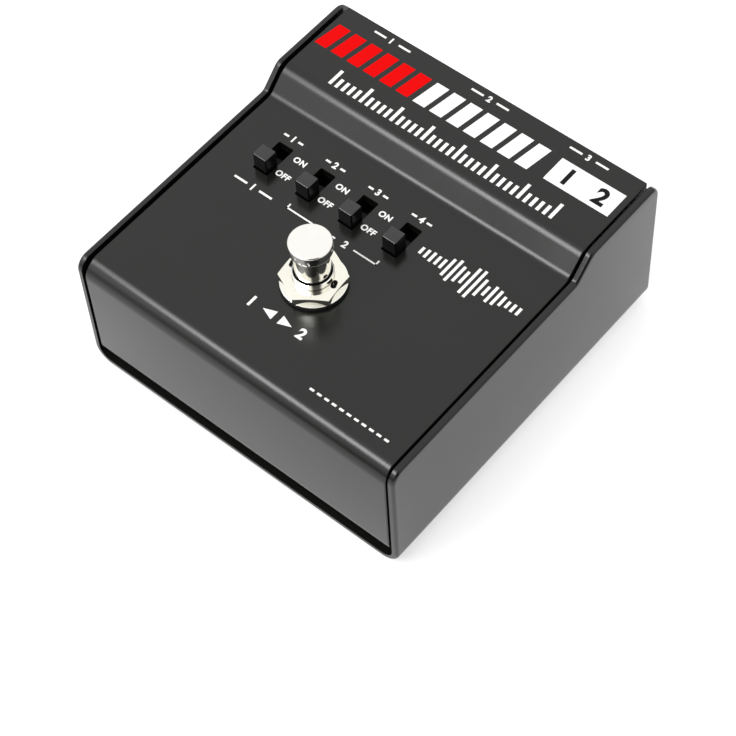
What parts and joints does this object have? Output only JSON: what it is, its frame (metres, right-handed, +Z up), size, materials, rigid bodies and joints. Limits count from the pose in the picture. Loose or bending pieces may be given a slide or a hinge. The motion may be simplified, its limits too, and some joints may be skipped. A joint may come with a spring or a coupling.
{
  "type": "AB footswitch",
  "caption": "Floor box with a latching footswitch and slide switches on its cover, sending one of two balanced line inputs at the rear to one output.",
  "frame": {"origin": "under the middle of the non-slip pad, on the floor", "axes": "+X to the player's right, +Y towards the connectors at the rear, +Z up"},
  "size_m": [0.116, 0.1184, 0.067],
  "materials": {
    "case_coat": "fine black powder coat, satin",
    "cover_coat": "fine black powder coat with printing",
    "panel_coat": "fine black powder coat, satin",
    "pad_rubber": "matt neoprene",
    "plated_steel": "zinc plate",
    "black_screw": "black zinc",
    "nickel": "polished nickel",
    "nut_nickel": "nickel plate, lightly turned",
    "switch_moulding": "blue moulding",
    "spring_steel": "bright wire",
    "tinned_contact": "tin plate",
    "gold_contact": "thin gold plate",
    "die_cast_black": "black lacquer, satin",
    "insert_black": "black moulding",
    "latch_steel": "black oxide, satin",
    "board_green": "green solder resist",
    "transformer_can": "drawn steel can",
    "capacitor_red": "red resin box",
    "ribbon_grey": "grey ribbon",
    "wire_jacket": "dark sleeving",
    "slide_steel": "plated strip",
    "wafer_brown": "phenolic sheet",
    "lever_black": "black moulding"
  },
  "bodies": {
    "case": {"base_channel": "case_coat", "top_cover": "cover_coat", "rear_panel": "panel_coat", "non_slip_pad": "pad_rubber", "cover_standoffs": "plated_steel", "cover_screws": "black_screw", "panel_screws": "black_screw", "footswitch_bushing": "nickel", "footswitch_body": "switch_moulding", "footswitch_spring": "spring_steel", "footswitch_top_nut": "nut_nickel", "footswitch_top_washer": "plated_steel", "footswitch_inner_nut": "plated_steel", "footswitch_lock_washer": "plated_steel", "footswitch_terminals": "tinned_contact", "slide_1_frame": "slide_steel", "slide_1_wafer": "wafer_brown", "slide_1_pins": "tinned_contact", "slide_2_frame": "slide_steel", "slide_2_wafer": "wafer_brown", "slide_2_pins": "tinned_contact", "slide_3_frame": "slide_steel", "slide_3_wafer": "wafer_brown", "slide_3_pins": "tinned_contact", "slide_4_frame": "slide_steel", "slide_4_wafer": "wafer_brown", "slide_4_pins": "tinned_contact", "first_input_shell": "die_cast_black", "first_input_insert": "insert_black", "first_input_contacts": "gold_contact", "second_input_shell": "die_cast_black", "second_input_insert": "insert_black", "second_input_contacts": "gold_contact", "output_shell": "die_cast_black", "output_insert": "insert_black", "output_pins": "gold_contact", "connector_screws": "black_screw", "connector_nuts": "plated_steel", "main_board": "board_green", "main_board_spacers": "plated_steel", "main_board_screws": "plated_steel", "switch_board": "board_green", "switch_board_standoffs": "plated_steel", "switch_board_screws": "plated_steel", "first_transformer": "transformer_can", "second_transformer": "transformer_can", "capacitors": "capacitor_red", "main_board_header": "insert_black", "switch_board_header": "insert_black", "ribbon_cable": "ribbon_grey", "signal_wires": "wire_jacket"},
    "button": {"footswitch_button": "nickel"},
    "slide_1": {"slide_1_lever": "lever_black"},
    "slide_2": {"slide_2_lever": "lever_black"},
    "slide_3": {"slide_3_lever": "lever_black"},
    "slide_4": {"slide_4_lever": "lever_black"},
    "first_input_latch": {"first_input_latch": "latch_steel"},
    "second_input_latch": {"second_input_latch": "latch_steel"}
  },
  "joints": [
    {"name": "button_press", "type": "slide", "parent": "case", "child": "button", "axis": [0, 0, -1], "range_m": [0, 0.005], "stiffness_N_per_m": 1500, "springref_m": -0.006, "deforming": ["footswitch_spring"]},
    {"name": "slide_1_travel", "type": "slide", "parent": "case", "child": "slide_1", "axis": [0, 1, 0], "range_m": [0, 0.0064]},
    {"name": "slide_2_travel", "type": "slide", "parent": "case", "child": "slide_2", "axis": [0, 1, 0], "range_m": [0, 0.0064]},
    {"name": "slide_3_travel", "type": "slide", "parent": "case", "child": "slide_3", "axis": [0, 1, 0], "range_m": [0, 0.0064]},
    {"name": "slide_4_travel", "type": "slide", "parent": "case", "child": "slide_4", "axis": [0, 1, 0], "range_m": [0, 0.0064]},
    {"name": "first_input_latch_press", "type": "hinge", "parent": "case", "child": "first_input_latch", "pos_m": [-0.036, 0.0357, 0.0377], "axis": [-1, 0, 0], "range_deg": [0, 5], "stiffness_Nm_per_rad": 0.5, "springref_deg": -2.86},
    {"name": "second_input_latch_press", "type": "hinge", "parent": "case", "child": "second_input_latch", "pos_m": [0, 0.0357, 0.0377], "axis": [-1, 0, 0], "range_deg": [0, 5], "stiffness_Nm_per_rad": 0.5, "springref_deg": -2.86}
  ]
}
